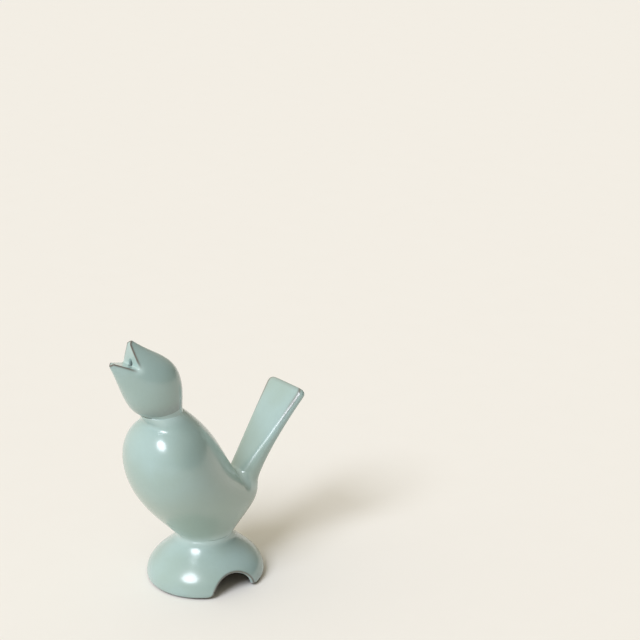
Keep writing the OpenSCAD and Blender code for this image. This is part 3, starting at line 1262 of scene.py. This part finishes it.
@dataclass(frozen=True)
class Glaze:
    """Celadon glaze over stoneware: cool to grey-green, pale where it pools, brown where thin, warmer low on
    the body as a painted floor bounce, paler in creases also as painted highlights, browner under the head as
    painted shade, and with bare clay dark enough to paint the shade of the hollows.

    Heights are in metres, and each pair of numbers is where a ramp starts and where it is full.
    """

    name: str
    cool: Colour = linear(160, 186, 187)
    warm: Colour = linear(153, 176, 171)
    # painted warm floor bounce low on the body
    belly: Colour = linear(156, 176, 166)
    # pooled glaze, also paler as painted highlights in creases and the mouth
    pooled: Colour = linear(184, 207, 206)
    # thin glaze on edges, also used as painted shade under the head
    thin: Colour = linear(98, 88, 82)
    # bare clay, darkened as painted shade inside the hollows and the arch
    clay: Colour = linear(36, 28, 22)
    floor_bounce_top: tuple[float, float] = (0.056, 0.030)
    floor_bounce_low: tuple[float, float] = (0.0178, 0.0186)
    floor_bounce_share: float = 0.8
    drift_scale: float = 42
    drift_ramp: tuple[float, float] = (0.35, 0.65)
    drift_share: float = 0.7
    mottle_scale: float = 700
    mottle_detail: float = 3
    mottle_share: float = 0.3
    pool_and_glint_share: float = 0.8
    edge_least: float = 0.8
    edge_mottle: float = 0.4
    roughness: float = 0.22
    rough_mottle: float = 0.06
    rough_bare: float = 0.5
    pool_gloss: float = 0.08
    coat: float = 0.6
    coat_roughness: float = 0.16
    ior: float = 1.5
    wave_scale: float = 160
    wave_strength: float = 0.15
    wave_height: float = 0.0004

    def material(self) -> bpy.types.Material:
        """Mixes the colours by the masks and by height, with broad drift, fine mottling and soft waves; the
        height ramp paints a warm floor bounce on the lower body.

        Returns:
            The finished material.
        """
        material, net = new_material(self.name)
        edge, pool, bare = (net.mask(m) for m in (Mask.EDGE, Mask.POOL_AND_GLINT, Mask.BARE))
        drift = net.step(net.noise(self.drift_scale), *self.drift_ramp)
        mottle = net.noise(self.mottle_scale, self.mottle_detail)
        up = net.height()
        # painted warm floor bounce: the lower body, above the foot, turns to the belly colour
        belly = net.step(up, *self.floor_bounce_top) * net.step(up, *self.floor_bounce_low)
        colour = net.mix(drift * self.drift_share + mottle * self.mottle_share, self.cool, self.warm)
        colour = net.mix(belly * self.floor_bounce_share, colour, self.belly)
        # pooled glaze, and painted highlights in creases and the mouth's corner
        colour = net.mix(pool * self.pool_and_glint_share, colour, self.pooled)
        # thin glaze on edges, and painted shade under the head
        colour = net.mix(edge * (mottle * self.edge_mottle + self.edge_least), colour, self.thin)
        # bare clay, in a colour dark enough to paint the shade of the hollows
        colour = net.mix(bare, colour, self.clay)
        rough = self.roughness + mottle * self.rough_mottle + bare * self.rough_bare - pool * self.pool_gloss
        waves = net.noise(self.wave_scale)
        bump = {"Strength": self.wave_strength, "Distance": self.wave_height, "Height": waves}
        net.finish(Base_Color=colour, Roughness=rough, Coat_Weight=(1 - bare) * self.coat,
                   Coat_Roughness=self.coat_roughness, IOR=self.ior,
                   Normal=net.node("ShaderNodeBump", inputs=bump))
        return material


@dataclass(frozen=True)
class Ground:
    """Plain pale floor."""

    name: str = "pale_floor"
    colour: Colour = linear(236, 234, 231)
    tint: Colour = linear(223, 220, 213)
    grain_scale: float = 60
    grain_share: float = 0.1
    roughness: float = 0.9

    def material(self) -> bpy.types.Material:
        """Matt paper with a faint mottling.

        Returns:
            The finished material.
        """
        material, net = new_material(self.name)
        colour = net.mix(net.noise(self.grain_scale) * self.grain_share, self.colour, self.tint)
        net.finish(Base_Color=colour, Roughness=self.roughness, Specular_IOR_Level=0.0)
        return material


# Stage


@dataclass(frozen=True)
class View:
    """Camera at the photograph's angle, given by the pixel that the origin falls on."""

    azimuth: float = 55
    elevation: float = 28.5
    roll: float = -1.4
    distance: float = 611
    focal_px: float = 1600
    frame_px: float = 640
    aim_px: tuple[float, float] = (205.6, 571.6)
    sensor: float = 36
    clip_m: tuple[float, float] = (0.01, 20)

    def place(self) -> bpy.types.Object:
        """Puts the camera so that the origin falls on the aimed pixel.

        Returns:
            The camera.
        """
        az, el, ro = (math.radians(v) for v in (self.azimuth, self.elevation, self.roll))
        back = np.array([math.sin(az) * math.cos(el), math.cos(az) * math.cos(el), math.sin(el)])
        right = np.array([math.cos(az), -math.sin(az), 0.0])
        up = np.cross(right, back)
        up = up * np.sign(up[2])
        right, up = (right * math.cos(ro) + up * math.sin(ro), -right * math.sin(ro) + up * math.cos(ro))
        half = self.frame_px / 2
        aim_x, aim_y = (self.aim_px[0] - half) / self.focal_px, (half - self.aim_px[1]) / self.focal_px
        z = unit(np.array([aim_x, aim_y, 1.0]))
        x = unit(np.cross(np.array([0.0, 1.0, 0.0]), z))
        turn = np.stack([x, np.cross(z, x), z])
        cam_x, cam_y, cam_z = (turn[0, k] * right + turn[1, k] * up - turn[2, k] * back for k in range(3))
        flip = np.array([1, -1, 1])
        matrix = np.eye(4)
        matrix[:3, :3] = np.stack([cam_x * flip, cam_y * flip, -cam_z * flip], 1)
        matrix[:3, 3] = self.distance * back * flip * MM
        camera = bpy.data.objects.new("camera", bpy.data.cameras.new("camera"))
        camera.data.sensor_width = self.sensor
        camera.data.lens = self.focal_px / self.frame_px * self.sensor
        camera.data.clip_start, camera.data.clip_end = self.clip_m
        camera.matrix_world = Matrix(matrix.tolist())
        bpy.context.scene.collection.objects.link(camera)
        bpy.context.scene.camera = camera
        return camera


@dataclass(frozen=True)
class KeyLight:
    """Distant soft lamp that lights the whole floor alike."""

    name: str = "key"
    toward: tuple[float, float, float] = (0.19, -0.68, 0.71)
    strength: float = 2.02
    wide: float = 27.0
    colour: tuple[float, float, float] = (0.985, 1.03, 1.13)

    def add(self) -> bpy.types.Object:
        """Adds the lamp to the scene.

        Returns:
            The lamp.
        """
        data = bpy.data.lights.new(self.name, "SUN")
        data.energy, data.color, data.angle = self.strength, self.colour, math.radians(self.wide)
        lamp = bpy.data.objects.new(self.name, data)
        lamp.rotation_euler = Vector(self.toward).to_track_quat("Z", "Y").to_euler()
        bpy.context.scene.collection.objects.link(lamp)
        return lamp


@dataclass(frozen=True)
class Sky:
    """Light from all round: a bright side towards the window and a dim side away from it."""

    colour: Colour = linear(255, 246, 224)
    window: tuple[float, float, float] = (-0.6, -0.6, 0.53)
    dim: float = 0.03
    mean: float = 0.44
    swing: float = 0.46
    turn: tuple[float, float] = (-0.58, -0.36)

    def build(self) -> None:
        """Makes the world: strength grows with the cosine to the window, and drops away from it."""
        world = bpy.data.worlds.new("sky")
        world.use_nodes = True
        net = Net(world.node_tree)
        ray = net.node("ShaderNodeTexCoord", output="Generated")
        dot = {"operation": "DOT_PRODUCT"}
        cosine = net.node("ShaderNodeVectorMath", dot, {0: ray, 1: self.window}, "Value")
        strength = net.step(cosine, *self.turn) * (cosine * self.swing + self.mean) + self.dim
        light = net.node("ShaderNodeBackground", inputs={"Color": self.colour, "Strength": strength})
        net.node("ShaderNodeOutputWorld", inputs={"Surface": light})
        bpy.context.scene.world = world


@dataclass(frozen=True)
class Studio:
    """Floor, key lamp and sky; the floor's half side is in metres."""

    floor_half: float = 3.0
    ground: Ground = Ground()
    key: KeyLight = KeyLight()
    sky: Sky = Sky()

    def build(self) -> None:
        """Adds the floor, the lamp and the world's light."""
        corners = np.array([[-1, -1, 0], [1, -1, 0], [1, 1, 0], [-1, 1, 0]], float) * self.floor_half
        mesh = bpy.data.meshes.new("floor")
        mesh.from_pydata(corners.tolist(), [], [(0, 1, 2, 3)])
        floor = bpy.data.objects.new("floor", mesh)
        mesh.materials.append(self.ground.material())
        bpy.context.scene.collection.objects.link(floor)
        self.key.add()
        self.sky.build()
        bpy.context.scene.view_settings.view_transform = "Standard"


def main() -> None:
    """Builds the bird, its finishes and the stage, and logs each piece's faces and volume."""
    logging.basicConfig(level=logging.INFO, format="%(message)s")
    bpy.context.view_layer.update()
    finishes = {
        Slot.GLAZE: Glaze("celadon_glaze").material(),
        Slot.SLIP: Glaze("pooled_glaze").material(),
    }
    for skin, node, slot in PieBird().skins():
        piece = skin.build()
        piece.data.materials.append(finishes[slot])
        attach(piece, "root")
        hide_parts(node)
        faces = len(piece.data.polygons)
        log.info("%s: %d faces, %.0f cubic millimetres", skin.name, faces, abs(skin.volume()))
    View().place()
    Studio().build()


if __name__ == "__main__":
    main()
